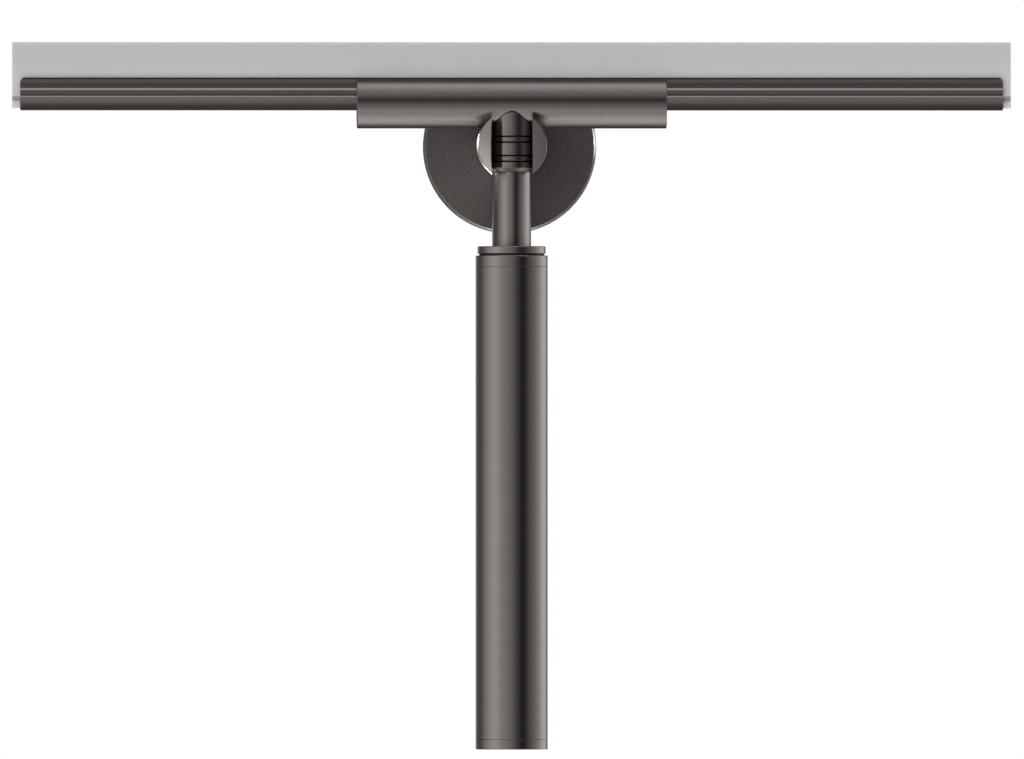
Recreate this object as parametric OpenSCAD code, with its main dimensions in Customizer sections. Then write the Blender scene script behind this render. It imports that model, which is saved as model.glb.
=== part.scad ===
// Wall-held squeegee: a rubber blade in a grooved rail, a cross tube on a turned neck and stem, a round
// handle, and the wall holder whose slotted boss carries it. The wall is the plane y = 0, the room is
// towards -Y, +Z is up, and the origin is the centre of the holder's wall plate.

/* [Blade] */
// Length of the rubber blade
blade_len = 345; // [300:1:420]
// Thickness of the rubber sheet
sheet_t = 1.8; // [1.4:0.1:1.9]
// Height of the wiping edge over the bottom of the rail
blade_top = 23.6; // [20:0.1:28]

/* [Rail] */
// Length of the rail that holds the blade
rail_len = 339.3; // [280:0.1:400]
// Height of the rail
rail_h = 11.25; // [11:0.05:12]
// Radius of the rail's upper end corners
rail_corner = 1.6; // [1:0.1:2]

/* [Cross tube] */
// Outer diameter of the cross tube
tube_d = 17.35; // [17.2:0.05:17.5]
// Length of the cross tube
tube_len = 107; // [100:1:140]
// Wall of the cross tube
tube_wall = 1.5; // [1.3:0.1:1.6]
// Height of the cross tube's axis over the holder's axis
tube_z = 14.6; // [14.5:0.05:14.7]

/* [Neck and stem] */
// Diameter of the neck that sits in the holder
neck_d = 16.85; // [16.7:0.05:16.9]
// Diameter of the stem
stem_d = 13.5; // [13:0.1:13.6]
// Height of the neck's lower end
neck_low = -8.95; // [-9.4:0.05:-8.8]
// Height of the stem's lower end
stem_low = -34.7; // [-38:0.1:-34]

/* [Handle] */
// Diameter of the handle
handle_d = 25; // [24:0.5:28]
// Wall of the handle tube
handle_wall = 1.5; // [1.2:0.1:1.8]
// Length of the handle with both caps
handle_len = 170.55; // [140:0.05:200]
// Visible height of the top cap
top_cap_h = 3.95; // [3.5:0.05:6]
// Visible height of the bottom cap
bottom_cap_h = 3.5; // [3:0.1:6]
// Diameter of the collar over the handle
collar_d = 23.6; // [22:0.1:24]
// Height of the collar
collar_h = 2.65; // [2:0.05:3]

/* [Holder] */
// Distance of the squeegee's axis from the wall
reach = 38.5; // [34:0.5:45]
// Diameter of the holder's boss
boss_d = 24; // [24:0.5:25]
// Length of the boss in front of the squeegee's axis
boss_nose = 12; // [9.5:0.5:12.5]
// Width of the slot in the boss
slot_w = 14; // [13.8:0.1:14.2]
// Diameter of the rosette
rosette_d = 60; // [56:1:70]
// Thickness of the rosette
rosette_h = 8; // [8:0.5:10]
// Distance between the two wall screws
screw_pitch = 34; // [32:1:36]
// Diameter of the wall screw holes
screw_hole_d = 4.5; // [4:0.5:5]

/* [Hidden] */
$fn = 96;

graphite = [0.36, 0.34, 0.33];
steel = [0.62, 0.62, 0.63];
black = [0.08, 0.08, 0.08];
silicone = [0.73, 0.73, 0.73];

tube_r = tube_d / 2;
tube_bore_r = tube_r - tube_wall;
neck_r = neck_d / 2;
stem_r = stem_d / 2;
handle_r = handle_d / 2;
handle_bore_r = handle_r - handle_wall;
boss_r = boss_d / 2;
rosette_r = rosette_d / 2;

// Clearances: blade in rail, squeegee in holder, and parts that are fastened together
blade_gap = 0.15;
holder_gap = 0.1;
cradle_gap = 0.2;
fit_gap = 0.03;
// The neck's saddle stands this far off the cross tube, with a thin gasket between them
saddle_gap = 0.3;

// Blade section, from its bead to its wiping edge, over the bottom of the rail:
// [half thickness, lower height, upper height]
blade_bands = [[1.4, 0.75, 2.7], [0.6, 2.7, 4.2], [1.3, 4.2, 5.8], [sheet_t / 2, 5.8, blade_top]];

// Rail: its bottom and its widest half thickness, and the hollow of its lower part
rail_z = tube_z - 2.4;
rail_half = 2.55;
rail_slot_half = rail_half + 0.05;
rail_hollow = 0.2;
rail_hollow_r = 10.6;
rail_hollow_h = 2.35;
// One side of the rail, from its bottom over the two grooves to its lip: [half thickness, height]
rail_side = [[rail_half - 1, 0], [rail_half, 0.4], [rail_half, 4.55], [2.15, 5.05], [2, 5.75], [2, 6.5],
             [2.5, 6.5], [2.5, 7], [1.9, 7.7], [1.55, 9.3], [2.1, 9.35], [2.1, 10.9], [2.02, rail_h]];

// Cross tube fittings
plug_len = 4;
clamp_len = 76;
tube_edge = 0.25;
set_x = 30;
set_r = 1.5;
set_tip = rail_half - rail_hollow / 3;

// Neck and stem: ring grooves, the stem's upper edge and the spigots that line up neck, stem and handle
ring_z = [2.2, -4.45];
ring_half_h = 0.77;
ring_edge = 0.15;
ring_groove_half = 1.3;
ring_groove_r = neck_r - 1.65;
stem_edge = 0.25;
neck_chamfer = 1.3;
spigot_r = 5;
neck_spigot_top = neck_low + 7.8;
rod_r = 2.5;
rod_top = rail_z - 0.1;

// Handle stack, from the stem down
collar_low = stem_low - collar_h;
washer_h = 0.5;
handle_top = collar_low - washer_h;
seam_top = handle_top - top_cap_h;
handle_low = handle_top - handle_len;
seam_low = handle_low + bottom_cap_h;
cap_plug_h = 8;
seam_edge = 0.1;
top_cap_edge = 0.5;
bottom_cap_edge = 0.25;
seal_r = 0.7;
rod_washer_h = 1.2;
rod_nut_h = 4;
cap_plug_r = handle_bore_r - fit_gap;
rod_washer_top = seam_top - cap_plug_h;
rod_low = rod_washer_top - rod_washer_h - rod_nut_h - 2.5;

// Holder, with depths measured from the wall
plate_t = 4;
plate_r = 25;
boss_front = reach + boss_nose;
boss_edge = 0.4;
boss_back = plate_t + 0.2;
boss_crown_r = 90;
boss_rim = boss_front - boss_crown(boss_r - boss_edge);
slot_edge = 0.5;
slot_front = boss_front - boss_crown(slot_w / 2 + slot_edge);
wall_spigot_r = 6;
wall_spigot_end = 20;
screw_recess = 0.3;
boss_set_depth = 14;
boss_set_r = 2.5;
rosette_wall = 1.8;
// Rim of the rosette, in two bevels: [width, depth] of the outer one, then of the inner one
rim_outer = [0.4, 0.85];
rim_inner = [0.5, 0.5];
hub_r = boss_r + 2.6;
hub_back = 4.4;
o_ring_r = 0.8;
o_ring_depth = 5.6;

// How far the boss's slightly crowned face falls back at a radius
function boss_crown(r) = boss_crown_r - sqrt(boss_crown_r * boss_crown_r - r * r);

// Points of an arc about (cx, cy) from angle a to angle b
function arc(cx, cy, r, a, b, steps = 8) =
    [for (i = [0:steps]) [cx + r * cos(a + (b - a) * i / steps), cy + r * sin(a + (b - a) * i / steps)]];

// The same outline on the other side of the axis, in reverse order
function other_side(points) = [for (i = [len(points) - 1:-1:0]) [-points[i][0], points[i][1]]];

// Stands a section drawn in (depth, height) along X, centred, on the squeegee's axis
module along_x(length) {
    translate([-length / 2, -reach, 0])
        rotate([90, 0, 90])
            linear_extrude(length)
                children();
}

// Turns a solid drawn upwards from the wall so that it points out into the room
module from_wall() {
    rotate([90, 0, 0])
        children();
}

// Puts a solid drawn about Z on the squeegee's axis
module on_axis(z = 0) {
    translate([0, -reach, z])
        children();
}

module rod_x(r, length) {
    on_axis(tube_z)
        rotate([0, 90, 0])
            cylinder(r = r, h = length, center = true);
}

module ring(mid_r, section_r) {
    rotate_extrude()
        translate([mid_r, 0])
            circle(r = section_r, $fn = 32);
}

module blade_section(gap = 0) {
    for (b = blade_bands)
        translate([-b[0] - gap, b[1] - gap])
            square([2 * (b[0] + gap), b[2] - b[1] + 2 * gap]);
}

module rubber_blade() {
    color(silicone)
        translate([0, 0, rail_z])
            along_x(blade_len)
                blade_section();
}

module rail_section() {
    difference() {
        polygon(concat(rail_side, other_side(rail_side)));
        for (side = [-1, 1])
            translate([side * (rail_half - rail_hollow + rail_hollow_r), rail_hollow_h])
                circle(r = rail_hollow_r, $fn = 360);
        blade_section(blade_gap);
    }
}

// What is cut off an upper end corner of the rail to round it
module rail_corner_cut(side) {
    translate([side * (rail_len / 2 - rail_corner), -reach, rail_z + rail_h - rail_corner])
        rotate([90, 0, 0])
            difference() {
                translate([side > 0 ? 0 : -2 * rail_corner, 0, -tube_r])
                    cube([2 * rail_corner, 2 * rail_corner, tube_d]);
                cylinder(r = rail_corner, h = 2 * tube_d, center = true);
            }
}

module blade_rail() {
    color(graphite)
        difference() {
            translate([0, 0, rail_z])
                along_x(rail_len)
                    rail_section();
            rail_corner_cut(1);
            rail_corner_cut(-1);
        }
}

// The rail's slot, open at the top
module rail_slot(length) {
    translate([0, 0, rail_z - 0.05])
        along_x(length)
            translate([-rail_slot_half, 0])
                square([2 * rail_slot_half, tube_d]);
}

// Holes for the two set screws, from the back of the tube to the rail
module set_screw_holes(r) {
    for (side = [-1, 1])
        translate([side * set_x, -reach, tube_z])
            rotate([-90, 0, 0])
                cylinder(r = r, h = tube_d);
}

module cross_tube() {
    color(graphite)
        difference() {
            on_axis(tube_z)
                rotate([0, 90, 0])
                    rotate_extrude()
                        polygon([[tube_bore_r, -tube_len / 2],
                                 [tube_r - tube_edge, -tube_len / 2],
                                 [tube_r, tube_edge - tube_len / 2],
                                 [tube_r, tube_len / 2 - tube_edge],
                                 [tube_r - tube_edge, tube_len / 2],
                                 [tube_bore_r, tube_len / 2]]);
            rail_slot(tube_len + 2);
            set_screw_holes(set_r + fit_gap);
            on_axis()
                cylinder(r = rod_r + fit_gap, h = tube_z);
        }
}

module clamp_bar() {
    color(steel)
        difference() {
            rod_x(tube_bore_r - fit_gap, clamp_len);
            rail_slot(clamp_len + 2);
            set_screw_holes(set_r + fit_gap);
            on_axis()
                cylinder(r = rod_r + fit_gap, h = tube_z);
        }
}

module end_plug(side) {
    color(black)
        difference() {
            translate([side * (tube_len - plug_len) / 2, 0, 0])
                rod_x(tube_bore_r - fit_gap, plug_len);
            rail_slot(tube_len + 2);
        }
}

module left_end_plug() {
    end_plug(-1);
}

module right_end_plug() {
    end_plug(1);
}

// A headless screw drawn upwards, with a hexagon socket in its top
module set_screw(r, length) {
    difference() {
        cylinder(r = r, h = length);
        translate([0, 0, length - r])
            cylinder(r = r * 0.58, h = r + 1, $fn = 6);
    }
}

module rail_set_screws() {
    color(steel)
        for (side = [-1, 1])
            translate([side * set_x, set_tip - reach, tube_z])
                rotate([-90, 0, 0])
                    set_screw(set_r, tube_r - set_tip - 0.8);
}

// Thin black gasket that fills the joint between the cross tube and the neck's saddle
module saddle_gasket() {
    color(black)
        difference() {
            intersection() {
                rod_x(tube_r + saddle_gap - fit_gap, tube_len);
                on_axis()
                    cylinder(r = neck_r - 0.1, h = tube_z);
            }
            rod_x(tube_r + fit_gap, tube_len + 2);
            on_axis(-1)
                cylinder(r = rod_r + fit_gap, h = tube_z + 2);
        }
}

module neck() {
    color(graphite)
        difference() {
            on_axis()
                rotate_extrude()
                    polygon([[0, tube_z], [0, neck_low], [stem_r, neck_low],
                             [neck_r, neck_low + neck_chamfer], [neck_r, tube_z]]);
            rod_x(tube_r + saddle_gap, tube_len);
            for (z = ring_z)
                on_axis(z)
                    rotate_extrude()
                        translate([ring_groove_r, -ring_groove_half])
                            square([neck_r, 2 * ring_groove_half]);
            on_axis()
                cylinder(r = rod_r + fit_gap, h = tube_z);
            on_axis(neck_low - 1)
                cylinder(r = spigot_r + fit_gap, h = neck_spigot_top - neck_low + 1.1);
            on_axis(neck_spigot_top)
                cylinder(r = rod_r + fit_gap, h = 2 * tube_r);
        }
}

module neck_ring(z) {
    inner = ring_groove_r + fit_gap;
    outer = neck_r - 0.1;
    color(graphite)
        on_axis(z)
            rotate_extrude()
                polygon([[inner, -ring_half_h], [outer - ring_edge, -ring_half_h],
                         [outer, ring_edge - ring_half_h], [outer, ring_half_h - ring_edge],
                         [outer - ring_edge, ring_half_h], [inner, ring_half_h]]);
}

module upper_ring() {
    neck_ring(ring_z[0]);
}

module lower_ring() {
    neck_ring(ring_z[1]);
}

module stem() {
    color(graphite)
        on_axis()
            difference() {
                union() {
                    rotate_extrude()
                        polygon(concat([[0, stem_low], [stem_r, stem_low]],
                                       arc(stem_r - stem_edge, neck_low - stem_edge, stem_edge, 0, 90),
                                       [[0, neck_low]]));
                    translate([0, 0, seam_top - 2])
                        cylinder(r = spigot_r, h = neck_spigot_top - seam_top + 2);
                }
                translate([0, 0, seam_top - 3])
                    cylinder(r = rod_r + fit_gap, h = neck_spigot_top - seam_top + 4);
            }
}

module tie_rod() {
    color(steel)
        on_axis(rod_low)
            cylinder(r = rod_r, h = rod_top - rod_low);
}

module rod_washer() {
    color(steel)
        on_axis(rod_washer_top - rod_washer_h)
            difference() {
                cylinder(r = 2.4 * rod_r, h = rod_washer_h);
                translate([0, 0, -1])
                    cylinder(r = rod_r + fit_gap, h = rod_washer_h + 2);
            }
}

module rod_nut() {
    color(steel)
        on_axis(rod_washer_top - rod_washer_h - rod_nut_h)
            difference() {
                cylinder(r = 1.85 * rod_r, h = rod_nut_h, $fn = 6);
                translate([0, 0, -1])
                    cylinder(r = rod_r + fit_gap, h = rod_nut_h + 2);
            }
}

// A round plate on the stem's lower spigot, with both outer edges broken
module spigot_plate(r, edge, z, h) {
    on_axis(z)
        difference() {
            rotate_extrude()
                polygon([[0, 0], [r - edge, 0], [r, edge], [r, h - edge], [r - edge, h], [0, h]]);
            translate([0, 0, -1])
                cylinder(r = spigot_r + fit_gap, h = h + 2);
        }
}

module collar() {
    color(graphite)
        spigot_plate(collar_d / 2, 0.25, collar_low, collar_h);
}

module handle_washer() {
    color(black)
        spigot_plate(collar_d / 2 - 0.6, 0.1, handle_top, washer_h);
}

// The groove of a cap's seal ring, cut into its plug
module seal_groove() {
    rotate_extrude()
        translate([handle_bore_r - 2 * seal_r, -seal_r])
            square([3 * seal_r, 2 * seal_r]);
}

module cap_seal(z) {
    color(black)
        on_axis(z)
            ring(handle_bore_r - seal_r, seal_r);
}

module handle_top_cap() {
    color(graphite)
        on_axis()
            difference() {
                rotate_extrude()
                    polygon(concat([[0, seam_top - cap_plug_h], [cap_plug_r, seam_top - cap_plug_h],
                                    [cap_plug_r, seam_top], [handle_r - seam_edge, seam_top],
                                    [handle_r, seam_top + seam_edge]],
                                   arc(handle_r - top_cap_edge, handle_top - top_cap_edge,
                                       top_cap_edge, 0, 90),
                                   [[0, handle_top]]));
                translate([0, 0, seam_top - 2.1])
                    cylinder(r = spigot_r + fit_gap, h = top_cap_h + 5);
                translate([0, 0, seam_top - cap_plug_h - 1])
                    cylinder(r = rod_r + fit_gap, h = cap_plug_h + top_cap_h);
                translate([0, 0, seam_top - cap_plug_h / 2])
                    seal_groove();
            }
}

module top_cap_seal() {
    cap_seal(seam_top - cap_plug_h / 2);
}

module handle_tube() {
    color(graphite)
        on_axis()
            rotate_extrude()
                polygon([[handle_bore_r, seam_low], [handle_r - seam_edge, seam_low],
                         [handle_r, seam_low + seam_edge], [handle_r, seam_top - seam_edge],
                         [handle_r - seam_edge, seam_top], [handle_bore_r, seam_top]]);
}

module bottom_cap_seal() {
    cap_seal(seam_low + cap_plug_h / 2);
}

module handle_bottom_cap() {
    color(graphite)
        on_axis()
            difference() {
                rotate_extrude()
                    polygon(concat([[0, handle_low]],
                                   arc(handle_r - bottom_cap_edge, handle_low + bottom_cap_edge,
                                       bottom_cap_edge, -90, 0),
                                   [[handle_r, seam_low - seam_edge], [handle_r - seam_edge, seam_low],
                                    [cap_plug_r, seam_low], [cap_plug_r, seam_low + cap_plug_h],
                                    [0, seam_low + cap_plug_h]]));
                translate([0, 0, seam_low + cap_plug_h / 2])
                    seal_groove();
            }
}

// The slot in the boss's nose seen from above, with its front edges broken
module slot_section() {
    half = slot_w / 2;
    polygon([[-half, -reach], [half, -reach], [half, slot_edge - slot_front], [half + slot_edge, -slot_front],
             [half + slot_edge, -boss_front - 1], [-half - slot_edge, -boss_front - 1],
             [-half - slot_edge, -slot_front], [-half, slot_edge - slot_front]]);
}

module holder_boss() {
    color(graphite)
        difference() {
            from_wall()
                rotate_extrude()
                    intersection() {
                        polygon(concat([[0, boss_back], [boss_r, boss_back]],
                                       arc(boss_r - boss_edge, boss_rim - boss_edge, boss_edge, 0, 90),
                                       [[boss_r - boss_edge, boss_front + 1], [0, boss_front + 1]]));
                        translate([0, boss_front - boss_crown_r])
                            circle(r = boss_crown_r, $fn = 360);
                    }
            on_axis()
                cylinder(r = neck_r + holder_gap, h = 2 * boss_d, center = true);
            translate([0, 0, -boss_d])
                linear_extrude(2 * boss_d)
                    slot_section();
            rod_x(tube_r + cradle_gap, 2 * boss_d);
            from_wall()
                cylinder(r = wall_spigot_r + fit_gap, h = wall_spigot_end + 0.2);
            translate([0, -boss_set_depth, -boss_d])
                cylinder(r = boss_set_r + fit_gap, h = boss_d);
        }
}

module boss_set_screw() {
    color(steel)
        translate([0, -boss_set_depth, -wall_spigot_r])
            rotate([180, 0, 0])
                set_screw(boss_set_r, boss_r - wall_spigot_r - 0.6);
}

module spigot() {
    color(steel)
        from_wall()
            difference() {
                translate([0, 0, plate_t])
                    cylinder(r = wall_spigot_r, h = wall_spigot_end - plate_t);
                cylinder(r = rod_r + fit_gap, h = wall_spigot_end - 4);
            }
}

// Countersunk screw that holds the spigot on the plate, grown by gap where it is cut out
module spigot_screw_body(gap) {
    translate([0, 0, screw_recess]) {
        cylinder(r1 = 2 * rod_r + gap, r2 = rod_r + gap, h = rod_r);
        cylinder(r = rod_r + gap, h = rod_r + 12);
    }
}

module spigot_screw() {
    color(steel)
        from_wall()
            difference() {
                spigot_screw_body(0);
                cylinder(r = rod_r * 0.6, h = 2, $fn = 6);
            }
}

module wall_plate() {
    color(steel)
        from_wall()
            difference() {
                cylinder(r = plate_r, h = plate_t);
                spigot_screw_body(fit_gap);
                translate([0, 0, -1])
                    cylinder(r = 2 * rod_r + fit_gap, h = 1 + screw_recess);
                for (side = [-1, 1])
                    translate([side * screw_pitch / 2, 0, -1])
                        cylinder(d = screw_hole_d, h = plate_t + 2);
            }
}

module rosette() {
    color(graphite)
        from_wall()
            difference() {
                rotate_extrude()
                    polygon([[boss_r + 0.1, hub_back], [hub_r, hub_back],
                             [hub_r, rosette_h - rosette_wall],
                             [rosette_r - rosette_wall, rosette_h - rosette_wall],
                             [rosette_r - rosette_wall, 0], [rosette_r, 0],
                             [rosette_r, rosette_h - rim_inner[1] - rim_outer[1]],
                             [rosette_r - rim_outer[0], rosette_h - rim_inner[1]],
                             [rosette_r - rim_outer[0] - rim_inner[0], rosette_h],
                             [boss_r + 0.1, rosette_h]]);
                translate([0, 0, o_ring_depth - o_ring_r - fit_gap])
                    cylinder(r = boss_r + 2 * o_ring_r + fit_gap, h = 2 * (o_ring_r + fit_gap));
            }
}

module rosette_o_ring() {
    color(black)
        from_wall()
            translate([0, 0, o_ring_depth])
                ring(boss_r + o_ring_r, o_ring_r);
}

rubber_blade();
blade_rail();
cross_tube();
clamp_bar();
left_end_plug();
right_end_plug();
rail_set_screws();
saddle_gasket();
neck();
upper_ring();
lower_ring();
stem();
tie_rod();
rod_washer();
rod_nut();
collar();
handle_washer();
handle_top_cap();
top_cap_seal();
handle_tube();
bottom_cap_seal();
handle_bottom_cap();
holder_boss();
boss_set_screw();
spigot();
spigot_screw();
wall_plate();
rosette();
rosette_o_ring();
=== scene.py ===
"""Looks of the wall-held squeegee: its camera, studio light, floor and materials."""
import math

import bpy
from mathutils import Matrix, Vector


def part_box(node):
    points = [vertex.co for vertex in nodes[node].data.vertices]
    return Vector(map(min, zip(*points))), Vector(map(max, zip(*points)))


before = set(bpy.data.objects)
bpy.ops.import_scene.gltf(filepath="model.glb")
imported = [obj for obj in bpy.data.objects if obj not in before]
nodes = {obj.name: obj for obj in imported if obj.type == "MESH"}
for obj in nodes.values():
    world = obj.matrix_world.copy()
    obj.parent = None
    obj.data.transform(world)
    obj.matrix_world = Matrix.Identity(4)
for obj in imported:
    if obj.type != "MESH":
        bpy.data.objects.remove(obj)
bpy.context.view_layer.update()

MM = 0.001

# The squeegee's axis: x = 0, and this y
handle_low, handle_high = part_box("handle_tube")
AXIS_Y = (handle_low.y + handle_high.y) / 2


# ---------------------------------------------------------------- camera

# A long lens far away, which shows FRAME_WIDTH of the squeegee's plane; the angles are in degrees
LENS_MM = 1000
SENSOR_MM = 36
CLIP_START, CLIP_END = 0.1, 100
FRAME_WIDTH = 353.6 * MM
CAMERA_AZIMUTH = -1.15
CAMERA_ELEVATION = -0.18
CAMERA_AIM = Vector((0.14 * MM, AXIS_Y, -80.7 * MM))


def make_camera():
    azimuth, elevation = math.radians(CAMERA_AZIMUTH), math.radians(CAMERA_ELEVATION)
    back = Vector((math.sin(azimuth) * math.cos(elevation),
                   -math.cos(azimuth) * math.cos(elevation),
                   math.sin(elevation)))
    data = bpy.data.cameras.new("camera")
    data.lens, data.sensor_width = LENS_MM, SENSOR_MM
    data.clip_start, data.clip_end = CLIP_START, CLIP_END
    camera = bpy.data.objects.new("camera", data)
    bpy.context.scene.collection.objects.link(camera)
    camera.location = CAMERA_AIM + back * (FRAME_WIDTH * LENS_MM / SENSOR_MM)
    camera.rotation_mode = "QUATERNION"
    camera.rotation_quaternion = (-back).to_track_quat("-Z", "Y")
    bpy.context.scene.camera = camera


# ---------------------------------------------------------------- node helpers

def grey(level):
    return (level, level, level, 1)


def scaled(color, factor):
    return (color[0] * factor, color[1] * factor, color[2] * factor, 1)


class Tree:
    """A node tree with short calls for adding and linking nodes."""

    def __init__(self, tree):
        self.tree = tree
        tree.nodes.clear()

    def add(self, kind, **values):
        node = self.tree.nodes.new(kind)
        for name, value in values.items():
            setattr(node, name, value)
        return node

    def put(self, value, socket):
        """Links an output socket to an input, or sets a plain value on it. None leaves it as it is."""
        if isinstance(value, bpy.types.NodeSocket):
            self.tree.links.new(value, socket)
        elif value is not None:
            socket.default_value = value

    def math(self, operation, a, b=None, c=None):
        node = self.add("ShaderNodeMath", operation=operation)
        for value, socket in zip((a, b, c), node.inputs):
            self.put(value, socket)
        return node.outputs[0]

    def mix(self, share, a, b):
        node = self.add("ShaderNodeMix", data_type="FLOAT")
        self.put(share, node.inputs[0])
        self.put(a, node.inputs[2])
        self.put(b, node.inputs[3])
        return node.outputs[0]

    def mix_color(self, share, a, b):
        node = self.add("ShaderNodeMix", data_type="RGBA")
        self.put(share, node.inputs[0])
        self.put(a, node.inputs[6])
        self.put(b, node.inputs[7])
        return node.outputs[2]

    def fade(self, value, start, end):
        """0 at start and 1 at end, with a soft turn at both."""
        node = self.add("ShaderNodeMapRange", interpolation_type="SMOOTHSTEP")
        for given, socket in zip((value, start, end, 0.0, 1.0), node.inputs):
            self.put(given, socket)
        return node.outputs[0]

    def ramp(self, value, stops):
        """A grey level for a value from 0 to 1, straight between the stops [(value, level), ...]."""
        node = self.add("ShaderNodeValToRGB")
        elements = node.color_ramp.elements
        while len(elements) < len(stops):
            elements.new(0.5)
        for element, (place, level) in zip(elements, stops):
            element.position = place
            element.color = grey(level)
        self.put(value, node.inputs[0])
        return node.outputs[0]

    def object_point(self):
        """The x, y and z of the shaded point, in metres in its part's own frame."""
        split = self.add("ShaderNodeSeparateXYZ")
        self.put(self.add("ShaderNodeTexCoord").outputs["Object"], split.inputs[0])
        return split.outputs

    def distance(self, a, b):
        squares = self.math("ADD", self.math("MULTIPLY", a, a), self.math("MULTIPLY", b, b))
        return self.math("SQRT", squares)


# ---------------------------------------------------------------- light

# What the bare metal shows of the studio, as [angle in degrees, display level]. AROUND is at eye height:
# from behind by the left, the front (0) and the right to behind again. OVER is upright: from behind by the
# top, the front (0) and the bottom to behind again. Both lists start from the grey levels that the
# photograph shows across the handle and the tube, and were then changed until the renders matched.
AROUND = [(-180, 150), (-168, 120), (-157, 84), (-140, 66), (-122, 54), (-110, 76), (-99, 100),
          (-77, 128), (-58, 144), (-40, 145), (-24, 137), (-10, 124), (1, 106), (12, 80), (22, 54),
          (31, 24), (39, 22), (46, 40), (61, 70), (74, 88), (86, 104), (99, 124), (114, 149),
          (128, 158), (138, 140), (146, 92), (158, 46), (180, 82)]
OVER = [(-180, 82), (-150, 36), (-134, 50), (-120, 80), (-108, 116), (-96, 143), (-84, 148),
        (-72, 134), (-50, 100), (-31, 60), (-20, 38), (-12, 37), (5, 70), (24, 91), (43, 117),
        (53, 134), (75, 158), (87, 166), (99, 158), (115, 113), (124, 81), (135, 47), (150, 17),
        (180, 82)]
# The display level where neither of the two reaches, and the share of light that the metal gives back
MIDDLE = 82
METAL_SHARE = 0.2
# A row of levels fades out towards its own axis: how much of a direction lies along that axis where the row
# is gone, and where it is full
ROW_END, ROW_FULL = 0.85, 0.5
# The white backdrop: its light, and how much of a direction points straight back where it starts and is full
BACKDROP = 1.0
BACKDROP_START, BACKDROP_FULL = 0.95, 0.985


def linear(level):
    """Linear light of an sRGB display level from 0 to 255."""
    share = level / 255
    return ((share + 0.055) / 1.055) ** 2.4 if share > 0.04045 else share / 12.92


def make_light():
    scene = bpy.context.scene
    scene.view_settings.view_transform = "Standard"
    world = bpy.data.worlds.new("studio")
    scene.world = world
    world.use_nodes = True
    t = Tree(world.node_tree)
    direction = t.add("ShaderNodeTexCoord").outputs["Generated"]
    split = t.add("ShaderNodeSeparateXYZ")
    t.put(direction, split.inputs[0])
    x, y, z = split.outputs
    front = t.math("MULTIPLY", y, -1)
    down = t.math("MULTIPLY", z, -1)

    def panels(across, off_side, stops):
        """The studio's level around one axis, over MIDDLE; it fades out towards that axis."""
        turn = t.math("ARCTAN2", across, front)
        place = t.math("MULTIPLY_ADD", turn, 1 / math.tau, 0.5)
        level = t.ramp(place, [(angle / 360 + 0.5, linear(level)) for angle, level in stops])
        share = t.fade(t.math("ABSOLUTE", off_side), ROW_END, ROW_FULL)
        return t.math("POWER", t.math("DIVIDE", level, linear(MIDDLE)), share)

    level = t.math("MULTIPLY", panels(x, z, AROUND), panels(down, x, OVER))
    level = t.math("MULTIPLY", level, linear(MIDDLE) / METAL_SHARE)
    level = t.mix(t.fade(y, BACKDROP_START, BACKDROP_FULL), level, BACKDROP)
    seen = t.add("ShaderNodeLightPath").outputs["Is Camera Ray"]
    shown = t.mix(seen, level, BACKDROP)
    background = t.add("ShaderNodeBackground")
    t.put(shown, background.inputs["Color"])
    t.put(background.outputs[0], t.add("ShaderNodeOutputWorld").inputs[0])


# Small lamps close to the wall, which light only the edges that turn away from the room, in millimetres:
# [name, place, aim, width, height, brightness]. The spread is in degrees.
EDGE_LAMPS = [("boss_edge_lamp", (-52, -15, 3), (-12, -49, -2), 8, 14, 5.5),
              ("boss_low_lamp", (-42, -15, -29), (-9.5, -49, -7), 8, 16, 3.3),
              ("right_rim_lamp", (62, -4, 6), (30, -7, 4), 10, 16, 0.6),
              ("low_rim_lamp", (0, -8, -60), (0, -7, -30), 60, 10, 0.8)]
LAMP_SPREAD = 14


def make_edge_lamps():
    for name, place, aim, width, height, brightness in EDGE_LAMPS:
        data = bpy.data.lights.new(name, "AREA")
        data.shape = "RECTANGLE"
        data.size, data.size_y = width * MM, height * MM
        data.energy = brightness * math.pi * data.size * data.size_y
        data.spread = math.radians(LAMP_SPREAD)
        lamp = bpy.data.objects.new(name, data)
        bpy.context.scene.collection.objects.link(lamp)
        lamp.location = Vector(place) * MM
        lamp.rotation_mode = "QUATERNION"
        lamp.rotation_quaternion = (Vector(aim) - Vector(place)).to_track_quat("-Z", "Y")
        lamp.visible_camera = False


# ---------------------------------------------------------------- material helpers

BRUSH_SCALE, BRUSH_LENGTH_SCALE = 2600, 30
NOISE_DETAIL, NOISE_ROUGHNESS = 3, 0.6
RELIEF = 0.02 * MM


def new_material(name):
    material = bpy.data.materials.new(name)
    material.use_nodes = True
    return material, Tree(material.node_tree)


def finish_surface(t, shader):
    t.put(shader.outputs[0], t.add("ShaderNodeOutputMaterial").inputs[0])


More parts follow.
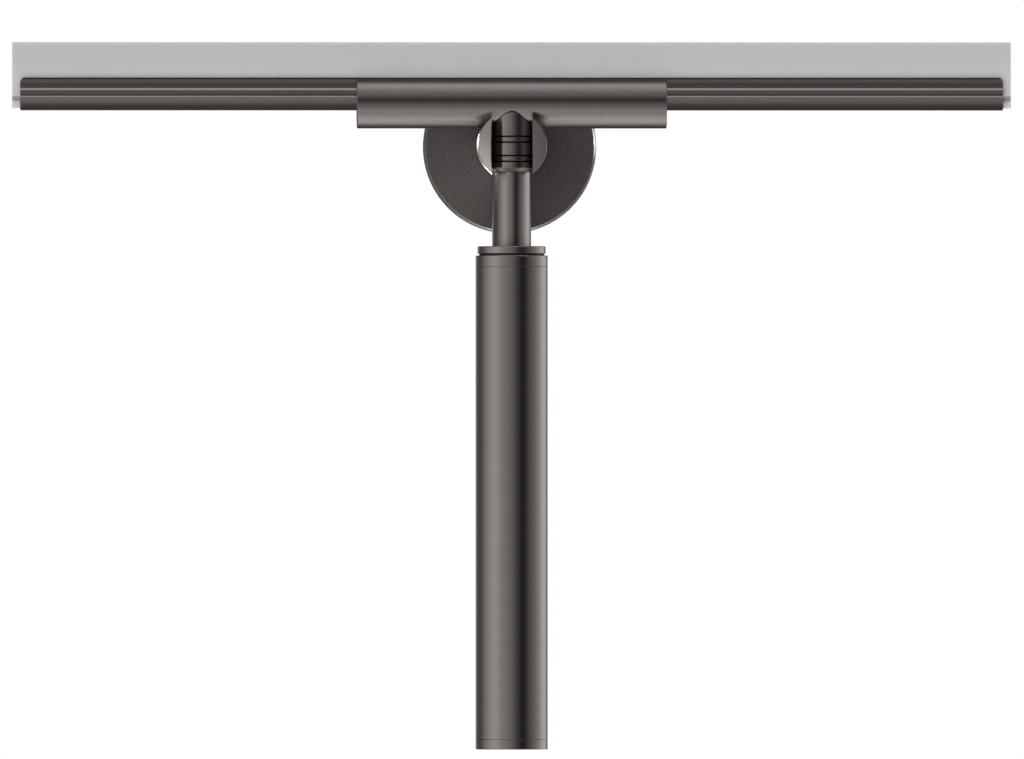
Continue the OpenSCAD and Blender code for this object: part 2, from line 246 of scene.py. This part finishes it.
def streaks(t, fast, fast_scale=BRUSH_SCALE, slow_scale=BRUSH_LENGTH_SCALE):
    """Noise from 0 to 1, drawn out into fine lines by two scales in waves per metre.

    fast is the direction across the lines: X, Y, Z, or R for rings. With XYZ it is an even grain.
    """
    if fast == "R":
        x, _, z = t.object_point()
        joined = t.add("ShaderNodeCombineXYZ")
        t.put(t.math("MULTIPLY", x, slow_scale), joined.inputs[0])
        t.put(t.math("MULTIPLY", t.distance(x, z), fast_scale), joined.inputs[1])
        t.put(t.math("MULTIPLY", z, slow_scale), joined.inputs[2])
        place = joined.outputs[0]
    else:
        mapping = t.add("ShaderNodeMapping")
        scales = [fast_scale if letter in fast else slow_scale for letter in "XYZ"]
        mapping.inputs["Scale"].default_value = scales
        t.put(t.add("ShaderNodeTexCoord").outputs["Object"], mapping.inputs[0])
        place = mapping.outputs[0]
    noise = t.add("ShaderNodeTexNoise")
    noise.inputs["Scale"].default_value = 1
    noise.inputs["Detail"].default_value = NOISE_DETAIL
    noise.inputs["Roughness"].default_value = NOISE_ROUGHNESS
    t.put(place, noise.inputs["Vector"])
    return noise.outputs[0]


def add_relief(t, shader, height, strength, normal=None):
    """Fine relief on a shader; normal takes the place of the surface's own, where it is given."""
    bump = t.add("ShaderNodeBump")
    bump.inputs["Strength"].default_value = strength
    bump.inputs["Distance"].default_value = RELIEF
    t.put(height, bump.inputs["Height"])
    t.put(normal, bump.inputs["Normal"])
    t.put(bump.outputs[0], shader.inputs["Normal"])


# ---------------------------------------------------------------- brushed metal

GRAPHITE = (0.213, 0.193, 0.186)

# What a grain of 1 does to the metal: the change of its colour either way, of its roughness from the lowest
# to the highest, and the strength of its relief
COLOR_CHANGE, ROUGHNESS_RANGE, RELIEF_STRENGTH = 0.1, 0.06, 0.3
# The noise levels that count as the bottom and the top of a brush line
LINE_LOW, LINE_HIGH = 0.3, 0.7
# The part of a whole turn that the highlights are turned by, to lie across the brush lines
QUARTER_TURN = 0.25


def deeper_normal(t, bend):
    """The surface direction of an upright bar if it were bend times as deep as it is wide."""
    stretched = t.add("ShaderNodeVectorMath", operation="MULTIPLY")
    t.put(t.add("ShaderNodeNewGeometry").outputs["Normal"], stretched.inputs[0])
    stretched.inputs[1].default_value = (bend, 1, 1)
    unit = t.add("ShaderNodeVectorMath", operation="NORMALIZE")
    t.put(stretched.outputs[0], unit.inputs[0])
    return unit.outputs[0]


def brushed_metal(name, fast, axis, tone=1.0, roughness=0.27, stretch=0.8, grain=0.5, bend=1.0,
                  slow_scale=BRUSH_LENGTH_SCALE, dark=None, dark_tone=0.1):
    """Graphite-coloured metal with brush lines.

    fast is the direction across the lines, axis the one they run around, and grain how strong they are.
    tone scales the graphite: a tone under 1 makes a darker copy, painted shade, and a tone over 1 a lighter
    copy, painted light. dark is a function that marks the places that get dark_tone in place of tone,
    painted darker than the rest.
    """
    material, t = new_material(name)
    lines = streaks(t, fast, slow_scale=slow_scale)
    shader = t.add("ShaderNodeBsdfPrincipled")
    shader.inputs["Metallic"].default_value = 1
    shader.inputs["Anisotropic"].default_value = stretch
    shader.inputs["Anisotropic Rotation"].default_value = QUARTER_TURN
    even = t.ramp(lines, [(LINE_LOW, 0), (LINE_HIGH, 1)])
    change = COLOR_CHANGE * grain
    color = t.mix_color(even, scaled(GRAPHITE, tone * (1 - change)), scaled(GRAPHITE, tone * (1 + change)))
    # Painted shade: the places that dark marks get dark_tone, darker than the rest.
    if dark:
        color = t.mix_color(dark(t), color, scaled(GRAPHITE, dark_tone))
    t.put(color, shader.inputs["Base Color"])
    span = ROUGHNESS_RANGE * grain
    t.put(t.math("MULTIPLY_ADD", even, span, roughness - span / 2), shader.inputs["Roughness"])
    normal = deeper_normal(t, bend) if bend != 1 else None
    add_relief(t, shader, lines, RELIEF_STRENGTH * grain, normal)
    tangent = t.add("ShaderNodeTangent", direction_type="RADIAL", axis=axis)
    t.put(tangent.outputs[0], shader.inputs["Tangent"])
    finish_surface(t, shader)
    return material


# The ring grooves of the neck lie within this distance of its axis and above this height
GROOVE_RADIUS, GROOVE_LOW = 8 * MM, -7.3 * MM


def neck_groove_shade(t):
    """1 in the two ring grooves of the neck, which get painted shade, else 0."""
    x, y, z = t.object_point()
    inward = t.math("LESS_THAN", t.distance(x, t.math("SUBTRACT", y, AXIS_Y)), GROOVE_RADIUS)
    return t.math("MULTIPLY", inward, t.math("GREATER_THAN", z, GROOVE_LOW))


# The boss, with half the width of its slot, the width of its rounded edge and the depth of its front faces
BOSS_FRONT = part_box("holder_boss")[0].y
BOSS_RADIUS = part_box("holder_boss")[1].x
SLOT_HALF = 7.1 * MM
EDGE_WIDTH = 0.4 * MM
FACE_DEPTH = 1.2 * MM


def beside_faces(t):
    """1 on the boss's slot, rounded edge and barrel, 0 on its two front faces, which are painted lightest:
    painted light.
    """
    x, y, z = t.object_point()
    in_slot = t.math("LESS_THAN", t.math("ABSOLUTE", x), SLOT_HALF)
    on_edge = t.math("GREATER_THAN", t.distance(x, z), BOSS_RADIUS - EDGE_WIDTH)
    behind = t.math("GREATER_THAN", y, BOSS_FRONT + FACE_DEPTH)
    return t.math("MAXIMUM", in_slot, t.math("MAXIMUM", on_edge, behind))


def top_edge_shade(name, start, end):
    """A function that gives 1 down to end metres under the top of a part, and 0 from start metres on: a
    strip of painted shadow along the top edge.
    """
    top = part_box(name)[1].z
    return lambda t: t.fade(t.object_point()[2], top - start, top - end)


# ---------------------------------------------------------------- other materials

STEEL = (0.5, 0.5, 0.51)


def mottled(name, grain_scale, darker, paler, roughness, rougher=0.0, metallic=0.0):
    """A plain material whose fine grain changes its colour and adds up to rougher to its roughness."""
    material, t = new_material(name)
    grain = streaks(t, "XYZ", fast_scale=grain_scale)
    shader = t.add("ShaderNodeBsdfPrincipled")
    shader.inputs["Metallic"].default_value = metallic
    t.put(t.mix_color(grain, darker, paler), shader.inputs["Base Color"])
    if rougher:
        roughness = t.math("MULTIPLY_ADD", grain, rougher, roughness)
    t.put(roughness, shader.inputs["Roughness"])
    finish_surface(t, shader)
    return material


def plain_steel():
    return mottled("plain_steel", 900, scaled(STEEL, 0.9), scaled(STEEL, 1.1),
                   roughness=0.33, rougher=0.15, metallic=1)


def black_rubber():
    return mottled("black_rubber", 1500, grey(0.008), grey(0.02), roughness=0.6)


def black_plastic():
    return mottled("black_plastic", 1200, grey(0.006), grey(0.012), roughness=0.35, rougher=0.2)


# The silicone blade: it is painted paler downwards between two heights, painted light against the rail's
# shade, and has a recess painted darker with soft edges, painted shade
BLADE_LOW, BLADE_TOP = (corner.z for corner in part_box("rubber_blade"))
UPPER_UNTIL, LOWER_FROM = BLADE_TOP - 2 * MM, BLADE_TOP - 14 * MM
RECESS_LOW, RECESS_TOP = BLADE_LOW + 2.5 * MM, BLADE_LOW + 4.4 * MM
RECESS_FADE = 0.4 * MM
# The paler lower grey is painted light against the rail's shade; the recess grey is painted shade.
SILICONE_UPPER, SILICONE_LOWER_LIT, SILICONE_CLOUD, SILICONE_RECESS_SHADE = 0.83, 0.88, 0.9, 0.55
CLOUD_SHARE, CLOUD_SCALE = 0.2, 120
GRAIN_SCALE, GRAIN_STRENGTH = 3000, 0.15
SILICONE_ROUGHNESS, SILICONE_ROUGHER = 0.4, 0.1
LIGHT_REACH = 1.2 * MM


def silicone():
    """Pale grey silicone, which light enters and leaves again a little further on.

    It is painted paler towards the rail, painted light against the rail's shade, and painted darker in the
    recess over its bead, painted shade.
    """
    material, t = new_material("silicone")
    clouds = streaks(t, "XYZ", fast_scale=CLOUD_SCALE)
    grain = streaks(t, "XYZ", fast_scale=GRAIN_SCALE)
    z = t.object_point()[2]
    # Painted light paler towards the rail, and painted shade in the recess over the bead.
    lower = t.fade(z, UPPER_UNTIL, LOWER_FROM)
    recess = t.math("MULTIPLY", t.fade(z, RECESS_LOW, RECESS_LOW + RECESS_FADE),
                    t.fade(z, RECESS_TOP, RECESS_TOP - RECESS_FADE))
    color = t.mix_color(lower, grey(SILICONE_UPPER), grey(SILICONE_LOWER_LIT))
    color = t.mix_color(t.math("MULTIPLY", clouds, CLOUD_SHARE), color, grey(SILICONE_CLOUD))
    shader = t.add("ShaderNodeBsdfPrincipled")
    t.put(t.mix_color(recess, color, grey(SILICONE_RECESS_SHADE)), shader.inputs["Base Color"])
    roughness = t.math("MULTIPLY_ADD", grain, SILICONE_ROUGHER, SILICONE_ROUGHNESS)
    t.put(roughness, shader.inputs["Roughness"])
    shader.inputs["Specular IOR Level"].default_value = 0.3
    shader.inputs["Subsurface Weight"].default_value = 1
    shader.inputs["Subsurface Radius"].default_value = (1, 1, 1)
    shader.inputs["Subsurface Scale"].default_value = LIGHT_REACH
    add_relief(t, shader, grain, GRAIN_STRENGTH)
    finish_surface(t, shader)
    return material


def paint(names, material):
    for name in names:
        for slot in nodes[name].material_slots:
            slot.material = material


# ---------------------------------------------------------------- floor

# Metres from the middle to a side, height, and share of light given back
FLOOR_HALF, FLOOR_HEIGHT, FLOOR_SHARE = 40.0, -0.7, 0.86


def make_floor():
    """A wide pale floor, clear from below, which neither reflections nor matt surfaces show."""
    sides = ((-1, -1), (1, -1), (1, 1), (-1, 1))
    corners = [(x * FLOOR_HALF, y * FLOOR_HALF, FLOOR_HEIGHT) for x, y in sides]
    mesh = bpy.data.meshes.new("floor")
    mesh.from_pydata(corners, [], [(0, 1, 2, 3)])
    floor = bpy.data.objects.new("floor", mesh)
    bpy.context.scene.collection.objects.link(floor)
    material, t = new_material("floor")
    matt = t.add("ShaderNodeBsdfDiffuse")
    matt.inputs[0].default_value = grey(FLOOR_SHARE)
    clear = t.add("ShaderNodeBsdfTransparent")
    mixed = t.add("ShaderNodeMixShader")
    t.put(t.add("ShaderNodeNewGeometry").outputs["Backfacing"], mixed.inputs[0])
    t.put(matt.outputs[0], mixed.inputs[1])
    t.put(clear.outputs[0], mixed.inputs[2])
    finish_surface(t, mixed)
    floor.data.materials.append(material)
    floor.visible_glossy = False
    floor.visible_diffuse = False


# ---------------------------------------------------------------- the scene

make_camera()
make_light()
make_edge_lamps()
make_floor()

# All graphite parts share one colour; the tones under 1 on the cross tube, the rail and the rosette are
# painted shade.
paint(["handle_tube", "handle_top_cap", "handle_bottom_cap"],
      brushed_metal("brushed_handle", fast="Z", axis="Z", grain=0.3))
# The neck's two ring grooves are painted dark: painted shade.
paint(["collar", "neck", "upper_ring", "lower_ring"],
      brushed_metal("brushed_neck", fast="Z", axis="Z", roughness=0.3, dark=neck_groove_shade))
paint(["stem"],
      brushed_metal("brushed_stem", fast="Z", axis="Z", roughness=0.32, bend=1.35))
# The cross tube's and the rail's top edges are painted dark, painted shadow where the rail and the blade
# meet them.
paint(["cross_tube"],
      brushed_metal("brushed_cross", fast="X", axis="X", tone=0.81, roughness=0.22,
                    dark=top_edge_shade("cross_tube", start=1.1 * MM, end=0.6 * MM)))
paint(["blade_rail"],
      brushed_metal("brushed_rail", fast="YZ", axis="X", tone=0.9, roughness=0.16, stretch=0.3,
                    dark=top_edge_shade("blade_rail", start=0.55 * MM, end=0.3 * MM)))
paint(["rosette"],
      brushed_metal("brushed_rosette", fast="R", axis="Y", tone=0.78, roughness=0.42, stretch=0.5, grain=2.4,
                    slow_scale=900))
# The boss is painted lighter than the other graphite and its two front faces lightest of all: painted light.
paint(["holder_boss"],
      brushed_metal("brushed_boss", fast="YZ", axis="Y", tone=2.3, roughness=0.3, bend=1.6,
                    dark=beside_faces, dark_tone=1.1))
paint(["clamp_bar", "rail_set_screws", "tie_rod", "rod_washer", "rod_nut", "boss_set_screw", "spigot",
       "spigot_screw", "wall_plate"],
      plain_steel())
paint(["rubber_blade"], silicone())
# The saddle gasket is a real rubber part, and its black also stands in for the shadow line along the top of
# the neck: painted shadow.
paint(["handle_washer", "top_cap_seal", "bottom_cap_seal", "rosette_o_ring", "saddle_gasket"],
      black_rubber())
paint(["left_end_plug", "right_end_plug"], black_plastic())
